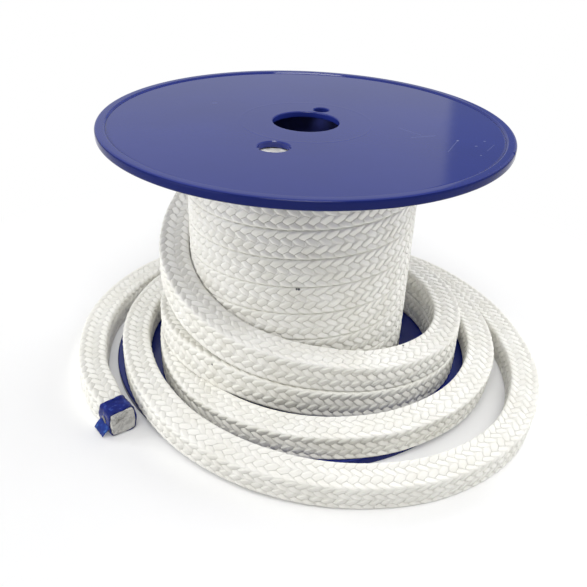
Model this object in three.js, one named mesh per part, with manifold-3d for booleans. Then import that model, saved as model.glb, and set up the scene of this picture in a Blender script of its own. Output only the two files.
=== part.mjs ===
// A reel of braided square gland packing: a two-flange plastic spool, the packing wound on its
// barrel in two layers, and the free length that has dropped round the foot of the spool.
// Millimetres, +Z up, the spool axis at x = y = 0, its lower flange standing on z = 0.
import * as THREE from 'three';
import Module from 'manifold-3d';

// The packing
const PACKING = 18;               // side of the square packing
const CORNER = 2.4;               // its corners are cut back this far
const GAP = 0.3;                  // clearance between pieces that touch

// The spool
const FLANGE_RADIUS = 125;        // the reel is 250 mm across
const REEL_HEIGHT = 168;          // over both flanges
const RIM_HEIGHT = 5.6;           // the raised rim round each flange
const RIM_WIDTH = 4.6;
const RIM_SLOPE = 1.5;            // width of the rim's sloping inner side
const RIM_ROUND = 1.4;            // rounding of its outer edges
const PLATE_RECESS = 0.9;         // the plate lies this far below the rim, on both faces
const BORE_RADIUS = 20.3;         // spindle bore through both flanges
const BARREL_OUTER = 37;
const BARREL_WALL = 2.6;
const BARREL_INNER = BARREL_OUTER - BARREL_WALL;
const FLANGE_SIDES = 72, BARREL_SIDES = 48, HOLE_SIDES = 32;   // facets round each
const INNER_FOOT = RIM_HEIGHT - PLATE_RECESS + GAP;   // what stands between the flanges starts here
const INNER_TOP = REEL_HEIGHT - INNER_FOOT;           // and ends here

// The packing wound on it, in two layers
const WIND_SLACK = 0.4;           // between the barrel and the inner layer
const INNER_SQUEEZE = 0.5, OUTER_SQUEEZE = 0.3;   // the winding presses each layer this much thinner
const LAYER_INNER = BARREL_OUTER + WIND_SLACK;
const LAYER_SPLIT = LAYER_INNER + PACKING - INNER_SQUEEZE;
const LAYER_OUTER = LAYER_SPLIT + PACKING - OUTER_SQUEEZE;
const SEAM_DEPTH = 1.6;           // groove between two turns
const SEAM_HALF = 1.8;            // half its height
const WIND_PITCH = PACKING;       // one turn's rise on the barrel
const WIND_STEP = 10;             // degrees between two stations of the winding
const WIND_START = -10;           // azimuth where the outer layer begins
const WIND_RISE = 1;              // the outer layer starts this much above the inner one's foot
const WIND_FOOT = INNER_FOOT + WIND_RISE;   // height of its lower edge at azimuth 0
const LEAVING = 60;               // azimuth where it leaves the barrel, after as many turns as fit
const FULL_TURNS = Math.floor((INNER_TOP - WIND_FOOT - WIND_PITCH) / WIND_PITCH - LEAVING / 360);
const WIND_END = LEAVING + 360 * FULL_TURNS;

// Holes in both flanges: the packing's first end is passed through one, the other takes a drive pin
const START_CLEARANCE = 0.25, START_INSET = 2.9;
const START_HOLE = { radius: PACKING / 2 + START_CLEARANCE, at: LAYER_SPLIT - START_INSET, azimuth: -109 };
const DRIVE_HOLE = { radius: 5, at: (BORE_RADIUS + BARREL_INNER) / 2, azimuth: 70 };

// The free length, laid down by hand: azimuth in degrees (it goes round a little more than four
// times), radius of its centre, height of its underside, and how far its top leans outwards.
const ROUTE = [
  [61.1, 64.4, 135.5, 0], [80, 67, 136.5, 0], [98, 76, 137.5, 0], [112, 83.6, 137, 0],
  [124, 84.4, 128, 0], [138, 84.2, 111, 0], [155, 83.7, 90.5, 0], [172, 83.9, 77.3, 0],
  [190, 83.4, 67.4, 0], [207, 83.1, 60, 0], [225, 83.25, 52.8, 1], [245, 83.3, 45.2, 1.5],
  [265, 83.5, 38.8, 2.5], [285, 84.2, 32.7, 4], [302, 87.6, 28.4, 5], [320, 93.4, 25.6, 4],
  [338, 99.6, 23.9, 2], [357, 103, 23.6, 0], [378, 103.8, 23.6, 0], [400, 103.8, 23.6, 0],
  [425, 103.2, 23.6, 0], [450, 101, 23.6, 0], [478, 96, 23.6, 0], [505, 90, 23.6, 0],
  [530, 86.4, 23.6, 0], [552, 84.8, 23.6, 0], [574, 84, 23.6, 0], [594, 83.7, 23.2, 0],
  [612, 83.5, 20.3, 2], [630, 83.5, 15.8, 3], [646, 84.2, 12, 2], [662, 87.6, 8.8, 1],
  [680, 93.4, 6.3, 0], [698, 99.6, 5.2, 0], [717, 103, 5, 0], [738, 104, 5, 0],
  [760, 104, 5, 0], [785, 103.5, 5, 0], [810, 101, 5, 0], [838, 95.5, 5, 0],
  [864, 89.5, 5, 0], [885, 86.5, 5, 0], [903, 85.7, 5, 0], [922, 87.2, 5, 0],
  [938, 91.8, 5, 0], [955, 98.5, 5, 0], [972, 104, 5.3, 2], [988, 109.5, 5.5, 4],
  [1004, 115.5, 6.7, 6], [1022, 120.5, 6.7, 7], [1043, 125, 6.7, 7], [1065, 127, 6.3, 4],
  [1088, 127.4, 6, 0], [1110, 127, 6, 0], [1132, 126.4, 6, 0], [1155, 126, 6, 0],
  [1180, 124, 6, 0], [1205, 119.5, 6, 0], [1228, 114.4, 5.8, 0], [1248, 111.6, 5.6, 0],
  [1266, 111, 5.6, 0], [1285, 112.5, 5.8, 0], [1304, 118.5, 6.2, 2], [1324, 129, 6.4, 8],
  [1343, 138.8, 4.2, 9], [1362, 148, 1.7, 9], [1382, 158, 1.5, 9], [1402, 161.5, 1.2, 6],
  [1424, 157, 0.7, 3], [1446, 150, 0.4, 0], [1468, 146.7, 0.4, 0], [1490, 146, 0.4, 0],
  [1515, 147, 0.4, 0], [1540, 145.5, 0.4, 0], [1565, 142.5, 0.4, 0], [1590, 141.2, 0.4, 0],
  [1615, 140.5, 0.4, 0], [1640, 140.8, 0.7, 0], [1654, 141.3, 1.3, 0], [1664.5, 141.8, 1.4, 0],
];

const TAPE_LENGTH = 13;           // blue tape round the free end
const TAPE_THICK = 0.8;
const TAPE_FROM_END = 0.6;        // the cut face stands this far out of the tape
const FLAP = { reach: 6.2, along: 11.5, drop: 0.4, droop: 40 };   // the tape's loose tail

const rad = THREE.MathUtils.degToRad;

// ---- materials ----
const bluePlastic = new THREE.MeshStandardMaterial({ color: 0x26308c, roughness: 0.3, metalness: 0 });
const blueBarrel = new THREE.MeshStandardMaterial({ color: 0x232c80, roughness: 0.4, metalness: 0 });
const woundFibre = new THREE.MeshStandardMaterial({ color: 0xe9e7df, roughness: 0.85, metalness: 0 });
const freeFibre = new THREE.MeshStandardMaterial({ color: 0xefede7, roughness: 0.85, metalness: 0 });
const blueTape = new THREE.MeshStandardMaterial({ color: 0x1c2a86, roughness: 0.22, metalness: 0 });

// Point at a radius and azimuth (degrees) round the spool axis.
function polar(radius, azimuth, z) {
  return new THREE.Vector3(radius * Math.cos(rad(azimuth)), radius * Math.sin(rad(azimuth)), z);
}

// A solid of revolution about +Z from [radius, height] pairs, listed counter-clockwise and closed.
function turned(profile, segments) {
  const points = profile.map(([r, z]) => new THREE.Vector2(r, z));
  points.push(points[0].clone());
  return new THREE.LatheGeometry(points, segments).rotateX(Math.PI / 2);
}

// ---- the flanges ----

// Outline of half a flange's section: a thin plate with a raised, rounded rim on both faces.
function flangeProfile() {
  const edge = FLANGE_RADIUS, inner = FLANGE_RADIUS - RIM_WIDTH, h = RIM_HEIGHT;
  const low = PLATE_RECESS, high = RIM_HEIGHT - PLATE_RECESS, r = RIM_ROUND;
  const cut = (1 - Math.SQRT1_2) * r, slope = RIM_SLOPE / 2;
  return [
    [BORE_RADIUS, low], [inner - slope, low], [inner + slope, 0],
    [edge - r, 0], [edge - cut, cut], [edge, r], [edge, h - r], [edge - cut, h - cut], [edge - r, h],
    [inner + slope, h], [inner - slope, high], [BORE_RADIUS, high],
  ];
}

function manifoldOf(wasm, geometry) {
  const plain = geometry.index ? geometry : geometry.clone();
  const position = plain.getAttribute('position');
  const index = plain.index ? plain.index.array : Uint32Array.from({ length: position.count }, (_, i) => i);
  const mesh = new wasm.Mesh({
    numProp: 3, vertProperties: Float32Array.from(position.array), triVerts: Uint32Array.from(index),
  });
  mesh.merge();
  return new wasm.Manifold(mesh);
}

function geometryOf(solid) {
  const mesh = solid.getMesh();
  const geometry = new THREE.BufferGeometry();
  geometry.setAttribute('position', new THREE.BufferAttribute(Float32Array.from(mesh.vertProperties), 3));
  geometry.setIndex(new THREE.BufferAttribute(Uint32Array.from(mesh.triVerts), 1));
  geometry.computeVertexNormals();
  return geometry;
}

// A cutter for a round hole right through a flange, standing on +Z.
function holeCutter({ radius, at, azimuth }) {
  const cutter = new THREE.CylinderGeometry(radius, radius, 4 * RIM_HEIGHT, HOLE_SIDES).rotateX(Math.PI / 2);
  const centre = polar(at, azimuth, RIM_HEIGHT / 2);
  return cutter.translate(centre.x, centre.y, centre.z);
}

function makeFlange(wasm, foot) {
  let solid = manifoldOf(wasm, turned(flangeProfile(), FLANGE_SIDES));
  for (const hole of [START_HOLE, DRIVE_HOLE]) solid = solid.subtract(manifoldOf(wasm, holeCutter(hole)));
  return geometryOf(solid).translate(0, 0, foot);
}

// ---- the barrel between them ----
function makeBarrel() {
  const inner = BARREL_INNER, outer = BARREL_OUTER;
  const section = [[inner, INNER_FOOT], [outer, INNER_FOOT], [outer, INNER_TOP], [inner, INNER_TOP]];
  return turned(section, BARREL_SIDES);
}

// ---- the packing wound on it ----

// Lower edge of the outer layer's turn at an azimuth counted right round from the start.
const windEdge = (azimuth) => WIND_FOOT + WIND_PITCH * azimuth / 360;

// Both layers as one solid. The outer layer is a helix: its turns meet in a groove, its first turn
// starts at a square end just above the lower flange and its last one stops square where the
// free length leaves.
function makeWoundPacking() {
  const foot = INNER_FOOT, top = INNER_TOP;
  const turn = 360 / WIND_STEP;
  const last = (WIND_END - WIND_START) / WIND_STEP;
  const azimuthAt = (j) => WIND_START + j * WIND_STEP;
  const groove = LAYER_OUTER - SEAM_DEPTH;
  const positions = [], index = [], known = new Map();

  // One vertex for each place on the section at station j; equal places share a vertex.
  function vertex(radius, j, z) {
    const spot = ((j % turn) + turn) % turn;
    const key = `${radius.toFixed(3)} ${spot} ${z.toFixed(3)}`;
    if (!known.has(key)) {
      const p = polar(radius, azimuthAt(spot), z);
      known.set(key, positions.length / 3);
      positions.push(p.x, p.y, p.z);
    }
    return known.get(key);
  }
  // A flat or nearly flat face from its corners, counter-clockwise from outside.
  function face(...corners) {
    for (let i = 1; i + 1 < corners.length; i += 1) index.push(corners[0], corners[i], corners[i + 1]);
  }
  const edgeOf = (j) => windEdge(azimuthAt(j));
  const split = (j, z) => vertex(LAYER_SPLIT, j, z);

  // outside of every turn: half a groove, the face, half a groove
  for (let j = 0; j < last; j += 1) {
    const ring = (k) => [
      vertex(groove, k, edgeOf(k)), vertex(LAYER_OUTER, k, edgeOf(k) + SEAM_HALF),
      vertex(LAYER_OUTER, k, edgeOf(k) + WIND_PITCH - SEAM_HALF), vertex(groove, k, edgeOf(k) + WIND_PITCH),
    ];
    const here = ring(j), next = ring(j + 1);
    for (let i = 0; i < 3; i += 1) face(here[i], next[i], next[i + 1], here[i + 1]);
  }

  // below the first turn and above the last one, with the inner layer's wall beyond them
  for (let j = 0; j < turn; j += 1) {
    const z0 = edgeOf(j), z1 = edgeOf(j + 1);
    face(vertex(groove, j + 1, z1), vertex(groove, j, z0), split(j, z0), split(j + 1, z1));
    if (j < turn - 1) face(split(j, foot), split(j + 1, foot), split(j + 1, z1), split(j, z0));
    else face(split(j, foot), split(0, foot), split(0, edgeOf(0)), split(0, z1), split(j, z0));

    const k = last - turn + j, crest = edgeOf(last) + WIND_PITCH;
    const t0 = edgeOf(k) + WIND_PITCH, t1 = edgeOf(k + 1) + WIND_PITCH;
    face(vertex(groove, k, t0), vertex(groove, k + 1, t1), split(k + 1, t1), split(k, t0));
    if (j > 0) face(split(k, t0), split(k + 1, t1), split(k + 1, top), split(k, top));
    else face(split(k + 1, t1), split(k + 1, top), split(k, top), split(k, crest), split(k, t0));
  }

  // the square ends of the first and last turns
  const endFace = (j) => [
    split(j, edgeOf(j)), vertex(groove, j, edgeOf(j)), vertex(LAYER_OUTER, j, edgeOf(j) + SEAM_HALF),
    vertex(LAYER_OUTER, j, edgeOf(j) + WIND_PITCH - SEAM_HALF),
    vertex(groove, j, edgeOf(j) + WIND_PITCH), split(j, edgeOf(j) + WIND_PITCH),
  ];
  face(...endFace(0));
  face(...endFace(last).reverse());

  // flat ends of the inner layer, and the hole the barrel fills
  for (let j = 0; j < turn; j += 1) {
    const inner = (k, z) => vertex(LAYER_INNER, k, z);
    face(inner(j, foot), inner(j + 1, foot), split(j + 1, foot), split(j, foot));
    face(inner(j, top), split(j, top), split(j + 1, top), inner(j + 1, top));
    face(inner(j + 1, foot), inner(j, foot), inner(j, top), inner(j + 1, top));
  }

  const geometry = new THREE.BufferGeometry();
  geometry.setAttribute('position', new THREE.BufferAttribute(Float32Array.from(positions), 3));
  geometry.setIndex(index);
  geometry.computeVertexNormals();
  return geometry;
}

// ---- the free length ----

// The hand-laid route as a curve. It is sampled at its own points, and its frames stay upright
// apart from the lean given with each point, so the square section never twists by itself.
class PackingRoute extends THREE.Curve {
  constructor(route) {
    super();
    this.route = route;
    this.places = route.map(([azimuth, radius, foot]) => polar(radius, azimuth, foot + PACKING / 2));
    this.smooth = new THREE.CatmullRomCurve3(this.places, false, 'centripetal');
  }

  getPoint(t, target = new THREE.Vector3()) {
    return this.smooth.getPoint(t, target);
  }

  getSpacedPoints(divisions) {
    return this.getPoints(divisions);
  }

  computeFrenetFrames(segments) {
    const tangents = [], normals = [], binormals = [];
    const up = new THREE.Vector3(0, 0, 1);
    for (let i = 0; i <= segments; i += 1) {
      const t = i / segments;
      const tangent = this.smooth.getTangent(t).normalize();
      const outward = new THREE.Vector3().crossVectors(tangent, up).normalize();
      outward.applyAxisAngle(tangent, rad(this.leanAt(t)));
      tangents.push(tangent);
      normals.push(outward);
      binormals.push(new THREE.Vector3().crossVectors(tangent, outward));
    }
    return { tangents, normals, binormals };
  }

  leanAt(t) {
    const place = t * (this.route.length - 1), i = Math.min(Math.floor(place), this.route.length - 2);
    return THREE.MathUtils.lerp(this.route[i][3], this.route[i + 1][3], place - i);
  }
}

// The packing's section, a square with its corners cut back, or one that lies evenly outside it.
function packingSection(outside = 0) {
  const h = PACKING / 2 + outside, c = h - CORNER - (2 - Math.SQRT2) * outside;
  return [[h, c], [c, h], [-c, h], [-h, c], [-h, -c], [-c, -h], [c, -h], [h, -c]]
    .map(([x, y]) => new THREE.Vector2(x, y));
}

function makeFreePacking(route) {
  const shape = new THREE.Shape(packingSection());
  const steps = route.places.length - 1;
  return new THREE.ExtrudeGeometry(shape, { steps, extrudePath: route, bevelEnabled: false });
}

// ---- the tape round its end ----

// A sleeve round the last few millimetres, with the tape's tail standing off the outer side.
function makeTape(wasm, route) {
  const outer = new THREE.Shape(packingSection(GAP + TAPE_THICK));
  outer.holes.push(new THREE.Path(packingSection(GAP)));
  const sleeve = new THREE.ExtrudeGeometry(outer, { depth: TAPE_LENGTH, steps: 1, bevelEnabled: false })
    .translate(0, 0, -TAPE_LENGTH - TAPE_FROM_END);

  const root = PACKING / 2 + GAP + TAPE_THICK / 2;
  const tail = new THREE.BoxGeometry(FLAP.reach, TAPE_THICK, FLAP.along)
    .translate(FLAP.reach / 2, 0, 0).rotateZ(rad(FLAP.droop))
    .translate(root, FLAP.drop, -TAPE_FROM_END - TAPE_LENGTH / 2);
  const tape = geometryOf(manifoldOf(wasm, sleeve).add(manifoldOf(wasm, tail)));

  // set on the end of the free length: section x outwards, section y down, z along the packing
  const end = route.places.length - 1;
  const frames = route.computeFrenetFrames(end);
  const place = new THREE.Matrix4().makeBasis(frames.normals[end], frames.binormals[end],
    new THREE.Vector3().crossVectors(frames.normals[end], frames.binormals[end]));
  return tape.applyMatrix4(place.setPosition(route.places[end]));
}

function named(name, geometry, material) {
  const mesh = new THREE.Mesh(geometry, material);
  mesh.name = name;
  return mesh;
}

const wasm = await Module();
wasm.setup();
const route = new PackingRoute(ROUTE);

const reel = new THREE.Group();
reel.name = 'gland_packing_reel';
reel.add(
  named('lower_flange', makeFlange(wasm, 0), bluePlastic),
  named('upper_flange', makeFlange(wasm, REEL_HEIGHT - RIM_HEIGHT), bluePlastic),
  named('barrel', makeBarrel(), blueBarrel),
  named('wound_packing', makeWoundPacking(), woundFibre),
  named('free_packing', makeFreePacking(route), freeFibre),
  named('end_tape', makeTape(wasm, route), blueTape),
);

export default reel;
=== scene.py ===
# Looks of the reel of braided gland packing: a blue plastic spool, the white packing wound on it,
# its loose length round the foot and the blue tape round the cut end. Metres, +Z up.
import math

import bpy
import numpy as np
from mathutils import Matrix, Vector


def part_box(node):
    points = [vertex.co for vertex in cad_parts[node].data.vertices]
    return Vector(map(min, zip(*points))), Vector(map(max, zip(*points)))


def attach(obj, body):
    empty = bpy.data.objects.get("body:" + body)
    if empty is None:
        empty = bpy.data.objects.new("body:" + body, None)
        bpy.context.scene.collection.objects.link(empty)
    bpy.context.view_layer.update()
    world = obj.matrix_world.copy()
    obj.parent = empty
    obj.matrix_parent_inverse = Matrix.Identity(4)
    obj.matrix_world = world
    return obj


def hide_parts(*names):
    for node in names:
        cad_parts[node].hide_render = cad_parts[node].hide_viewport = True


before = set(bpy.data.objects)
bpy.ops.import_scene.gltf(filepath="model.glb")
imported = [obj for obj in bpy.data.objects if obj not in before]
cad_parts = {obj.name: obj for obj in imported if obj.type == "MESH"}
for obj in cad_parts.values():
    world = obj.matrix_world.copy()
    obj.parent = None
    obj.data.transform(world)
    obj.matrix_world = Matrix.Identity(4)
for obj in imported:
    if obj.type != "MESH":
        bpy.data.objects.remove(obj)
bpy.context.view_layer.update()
MM = 0.001

# The packing
SIDE = 18 * MM                 # side of its square section
ROUND = 1.4 * MM               # radius of its soft corners
PERIOD = 6.2 * MM              # length in which the braid repeats
RELIEF = 0.85 * MM             # height of a crown over the crease beside it
CROWN, GROOVE = 0.70, 0.26     # how much of that is the crown's swell and how much the crease
TILT = 0.60                    # and how much higher it stands where it comes out than where it dives
CREASE = 0.22                  # two crowns whose heights differ by less than this are at a crease
LEVEL = 0.40                   # the height that lies on the plain section
EDGE_CALM, EDGE_WIDTH = 0.45, 2.6 * MM   # the braid is flatter this near a corner
FACE_CALM = 0.78               # and on the top and the underside, where the packing is pressed
WANDER = 0.35 * MM             # how far the crowns stray from an even spacing
ROW_STEP = 1.42 * MM           # distance between two rings of the swept mesh
SAMPLE = 0.45 * MM             # a mesh point's height is the mean of samples this far apart

# Columns of each swept mesh on the section's outer face, underside, inner face and top
OUTER_COLUMNS, INNER_COLUMNS = (20, 5, 4, 8), (12, 6, 3, 6)
FREE_COLUMNS, TAPE_COLUMNS = (16, 4, 8, 16), (14, 10, 10, 14)

# Rows of crowns across one side, from its upper edge on the outer face. Each row gives where it
# lies, which way it slants, its slant in degrees, how far a crown reaches forwards, backwards, to
# its left and to its right, its height, and its place along the period.
ROWS = (
    (2.7 * MM, 1, 38, 3.4 * MM, 5.6 * MM, 1.5 * MM, 3.4 * MM, 1.00, 0.00),
    (7.2 * MM, -1, 40, 4.4 * MM, 4.0 * MM, 1.5 * MM, 3.4 * MM, 0.86, 0.55),
    (11.6 * MM, 1, 38, 3.0 * MM, 5.0 * MM, 1.5 * MM, 3.4 * MM, 1.00, 0.18),
    (16.2 * MM, -1, 40, 4.2 * MM, 4.0 * MM, 1.5 * MM, 3.4 * MM, 0.84, 0.75),
)

# The winding, as in the part's source
BARREL_OUTER = 37 * MM
LAYER_INNER = 37.4 * MM
LAYER_SPLIT = 54.9 * MM
LAYER_OUTER = 72.6 * MM
WIND_FOOT = 6 * MM
WIND_START, WIND_END = -10, 2580      # azimuths, degrees
INNER_TURNS, INNER_STEPS = 9, 180     # rings of the inner layer, and steps round each
INNER_SHIFT = 0.31             # share of the braid's period by which a turn lies past the one below
INNER_SLACK = (1.0 * MM, 0.6 * MM)    # how much narrower and lower a turn is than the room for it

# The free length, as in the part's source: azimuth in degrees, radius of its centre and height of
# its underside in metres, and how far its top leans outwards, in degrees.
ROUTE = [
    (61.1, 0.0644, 0.1355, 0), (80, 0.067, 0.1365, 0), (98, 0.076, 0.1375, 0),
    (112, 0.0836, 0.137, 0), (124, 0.0844, 0.128, 0), (138, 0.0842, 0.111, 0),
    (155, 0.0837, 0.0905, 0), (172, 0.0839, 0.0773, 0), (190, 0.0834, 0.0674, 0),
    (207, 0.0831, 0.06, 0), (225, 0.08325, 0.0528, 1), (245, 0.0833, 0.0452, 1.5),
    (265, 0.0835, 0.0388, 2.5), (285, 0.0842, 0.0327, 4), (302, 0.0876, 0.0284, 5),
    (320, 0.0934, 0.0256, 4), (338, 0.0996, 0.0239, 2), (357, 0.103, 0.0236, 0),
    (378, 0.1038, 0.0236, 0), (400, 0.1038, 0.0236, 0), (425, 0.1032, 0.0236, 0),
    (450, 0.101, 0.0236, 0), (478, 0.096, 0.0236, 0), (505, 0.09, 0.0236, 0),
    (530, 0.0864, 0.0236, 0), (552, 0.0848, 0.0236, 0), (574, 0.084, 0.0236, 0),
    (594, 0.0837, 0.0232, 0), (612, 0.0835, 0.0203, 2), (630, 0.0835, 0.0158, 3),
    (646, 0.0842, 0.012, 2), (662, 0.0876, 0.0088, 1), (680, 0.0934, 0.0063, 0),
    (698, 0.0996, 0.0052, 0), (717, 0.103, 0.005, 0), (738, 0.104, 0.005, 0),
    (760, 0.104, 0.005, 0), (785, 0.1035, 0.005, 0), (810, 0.101, 0.005, 0),
    (838, 0.0955, 0.005, 0), (864, 0.0895, 0.005, 0), (885, 0.0865, 0.005, 0),
    (903, 0.0857, 0.005, 0), (922, 0.0872, 0.005, 0), (938, 0.0918, 0.005, 0),
    (955, 0.0985, 0.005, 0), (972, 0.104, 0.0053, 2), (988, 0.1095, 0.0055, 4),
    (1004, 0.1155, 0.0067, 6), (1022, 0.1205, 0.0067, 7), (1043, 0.125, 0.0067, 7),
    (1065, 0.127, 0.0063, 4), (1088, 0.1274, 0.006, 0), (1110, 0.127, 0.006, 0),
    (1132, 0.1264, 0.006, 0), (1155, 0.126, 0.006, 0), (1180, 0.124, 0.006, 0),
    (1205, 0.1195, 0.006, 0), (1228, 0.1144, 0.0058, 0), (1248, 0.1116, 0.0056, 0),
    (1266, 0.111, 0.0056, 0), (1285, 0.1125, 0.0058, 0), (1304, 0.1185, 0.0062, 2),
    (1324, 0.129, 0.0064, 8), (1343, 0.1388, 0.0042, 9), (1362, 0.148, 0.0017, 9),
    (1382, 0.158, 0.0015, 9), (1402, 0.1615, 0.0012, 6), (1424, 0.157, 0.0007, 3),
    (1446, 0.15, 0.0004, 0), (1468, 0.1467, 0.0004, 0), (1490, 0.146, 0.0004, 0),
    (1515, 0.147, 0.0004, 0), (1540, 0.1455, 0.0004, 0), (1565, 0.1425, 0.0004, 0),
    (1590, 0.1412, 0.0004, 0), (1615, 0.1405, 0.0004, 0), (1640, 0.1408, 0.0007, 0),
    (1654, 0.1413, 0.0013, 0), (1664.5, 0.1418, 0.0014, 0),
]

LEAVING = 60                   # azimuth where it leaves the barrel

# Where it lies against the winding it is pressed flat on it: azimuth, and how far its inner face
# reaches further inwards
PRESSED = (
    (112, 0), (138, 1.8 * MM), (155, 1.5 * MM), (172, 1.8 * MM), (190, 1.4 * MM), (207, 1.1 * MM),
    (225, 1.2 * MM), (245, 1.2 * MM), (265, 1.35 * MM), (285, 1.2 * MM), (300, 0),
    (575, 0), (594, 1.2 * MM), (612, 1.3 * MM), (630, 1.2 * MM), (648, 0),
)
# Where the first loop lies on the second they fill the space between them: azimuth, how much higher
# the top stands there and how much lower the underside
SWOLLEN = (
    (200, 0, 0), (225, 0, 1.7 * MM), (245, 0, 1.7 * MM), (265, 0, 1.3 * MM),
    (285, 0, 0.8 * MM), (302, 0, 0.5 * MM), (320, 0, 0),
    (555, 0, 0), (585, 1.9 * MM, 0), (605, 2.1 * MM, 0), (625, 1.5 * MM, 0),
    (645, 0.9 * MM, 0), (662, 0.6 * MM, 0), (680, 0.4 * MM, 0), (700, 0, 0),
)

# The spool
FLANGE_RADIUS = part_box("upper_flange")[1].x
RIM_WIDTH = 4.6 * MM
PLATE_RECESS = 0.9 * MM
BORE_RADIUS = 20.3 * MM
RIM_SOFT = 1.5 * MM            # rounding of the rim's outer corners
BORE_EASE = 0.7 * MM           # rounding of the bore's edges
HUB_MARK = (40 * MM, 0.03 * MM)       # raised ring on the plate: radius and height
HOLE_CHAMFER = 0.5 * MM
SHARP = math.radians(34)       # edges that turn more than this are drawn sharp
BARREL_WALL = 2.6 * MM
FLANGE_SIDES, BARREL_SIDES, HOLE_SIDES = 256, 128, 64
START_HOLE = (9.25 * MM, 52 * MM, -109)       # radius, distance from the axis, azimuth
DRIVE_HOLE = (5 * MM, 27.35 * MM, 70)

# Scratches and specks of dust on the upper plate, from one end to the other, with their half width
# and how pale they are
MARKS_ABOVE = 160 * MM         # only the upper flange's top is higher than this
MARKS = (
    (61.7 * MM, -22.5 * MM, 76.0 * MM, -17.4 * MM, 0.4 * MM, 0.22),
    (79.5 * MM, -44.8 * MM, 87.9 * MM, -24.8 * MM, 0.4 * MM, 0.20),
    (56.0 * MM, -5.4 * MM, 67.8 * MM, -17.1 * MM, 0.5 * MM, 0.10),
    (102.1 * MM, -40.2 * MM, 108.1 * MM, -29.5 * MM, 0.4 * MM, 0.15),
    (87.9 * MM, -24.8 * MM, 88.3 * MM, -24.4 * MM, 0.8 * MM, 0.6),
    (96.9 * MM, -33.1 * MM, 97.4 * MM, -33.0 * MM, 0.7 * MM, 0.5),
    (103.6 * MM, -23.6 * MM, 104.0 * MM, -23.5 * MM, 0.7 * MM, 0.4),
    (96.7 * MM, -48.7 * MM, 97.0 * MM, -48.5 * MM, 0.6 * MM, 0.4),
    (-60.4 * MM, 30.2 * MM, -58.4 * MM, 30.9 * MM, 1.0 * MM, 0.18),
    (-23.7 * MM, -54.3 * MM, -23.3 * MM, -54.0 * MM, 0.7 * MM, 0.3),
)
# Dark specks on the packing: place and radius
SPECKS = (
    (-0.9 * MM, -72.2 * MM, 90.6 * MM, 0.8 * MM),
    (0.4 * MM, -72.2 * MM, 90.6 * MM, 0.9 * MM),
    (66.9 * MM, -27.4 * MM, 94.6 * MM, 0.8 * MM),
    (67.3 * MM, -56.0 * MM, 43.8 * MM, 0.8 * MM),
    (-50.0 * MM, -78.1 * MM, 38.8 * MM, 0.8 * MM),
    (-34.7 * MM, -79.6 * MM, 39.4 * MM, 0.9 * MM),
    (135.4 * MM, -104.2 * MM, 19.3 * MM, 0.9 * MM),
)
NICK = (0.5 * MM, 125.1 * MM, -21)            # chip in the upper rim, given as the holes are

# The tape
TAPE_LENGTH = 13 * MM
TAPE_FROM_END = 0.6 * MM
TAPE_INSIDE, TAPE_OUTSIDE = 0.55 * MM, 1.25 * MM   # its two walls, over the packing's faces
TAIL_REACH, TAIL_LENGTH = 6.8 * MM, 12.5 * MM   # its loose tail, off the wrap and along it
TAIL_DROOP = (30, 52)          # how far it points down at its root and at its free edge, degrees
TAIL_ROOT = -3.2 * MM          # height of its root over the middle of the section
TAIL_DEPTH = 0.7 * MM          # the root lies inside the wrap, this far over the packing's face
TAIL_THICK = 0.4 * MM
TAPE_GAP = (1.9 * MM, 1.1 * MM, -0.2 * MM)   # a gap in the tape: half length, half height, height
GAP_DEPTH = 0.5 * MM           # thickness of the patch that shows the gap

# Shares by which the tape draws the section in, rounds it off and flattens its braid. This starts
# at a distance from the cut end, and is complete after a run nearer to it.
END_SQUEEZE, END_ROUNDING, END_FLATTENING = 0.15, 0.06, 0.6
SQUEEZE_START, SQUEEZE_RUN = 30 * MM, 18 * MM

# The camera, fitted to the photograph
CAMERA_PLACE = (0.0, -434.15 * MM, 298.84 * MM)
CAMERA_YAW, CAMERA_PITCH, CAMERA_ROLL = -0.0072, 0.5281, 0.0426
CAMERA_FIELD = math.radians(44.01)

# The studio. A lamp has a name, a place, a size, a power in watts, and whether it shows in
# reflections. All of them point at the middle.
WORLD_LEVEL = 0.12
FLOOR_REACH = 6.0
MIDDLE = (0, 0, 0.06)
LAMPS = (
    ("left_softbox", (-1.2, 0.0, 0.6), 0.9, 10.4, False),
    ("right_softbox", (1.2, 0.0, 0.6), 0.9, 8.4, False),
    ("back_softbox", (0.8, 0.9, 0.7), 0.9, 10.0, False),
    ("high_softbox", (0.0, -0.75, 1.25), 0.8, 9.8, True),
    ("front_softbox", (-1.0, -0.7, 0.5), 0.9, 3.2, True),
)


# Camera

def make_camera():
    """The photograph's viewpoint: yaw to the right of +Y, pitch down, roll clockwise."""
    cos, sin = math.cos, math.sin
    flat = cos(CAMERA_PITCH)
    forward = Vector((sin(CAMERA_YAW) * flat, cos(CAMERA_YAW) * flat, -sin(CAMERA_PITCH)))
    level = Vector((cos(CAMERA_YAW), -sin(CAMERA_YAW), 0))
    above = level.cross(forward)
    right = level * cos(CAMERA_ROLL) + above * sin(CAMERA_ROLL)
    up = above * cos(CAMERA_ROLL) - level * sin(CAMERA_ROLL)
    camera = bpy.data.objects.new("camera", bpy.data.cameras.new("camera"))
    camera.data.angle = CAMERA_FIELD
    camera.data.clip_start, camera.data.clip_end = 0.01, 20
    turn = Matrix((right, up, -forward)).transposed().to_4x4()
    camera.matrix_world = Matrix.Translation(CAMERA_PLACE) @ turn
    bpy.context.scene.collection.objects.link(camera)
    bpy.context.scene.camera = camera


# Values that are numbers, arrays or shader sockets alike

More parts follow.
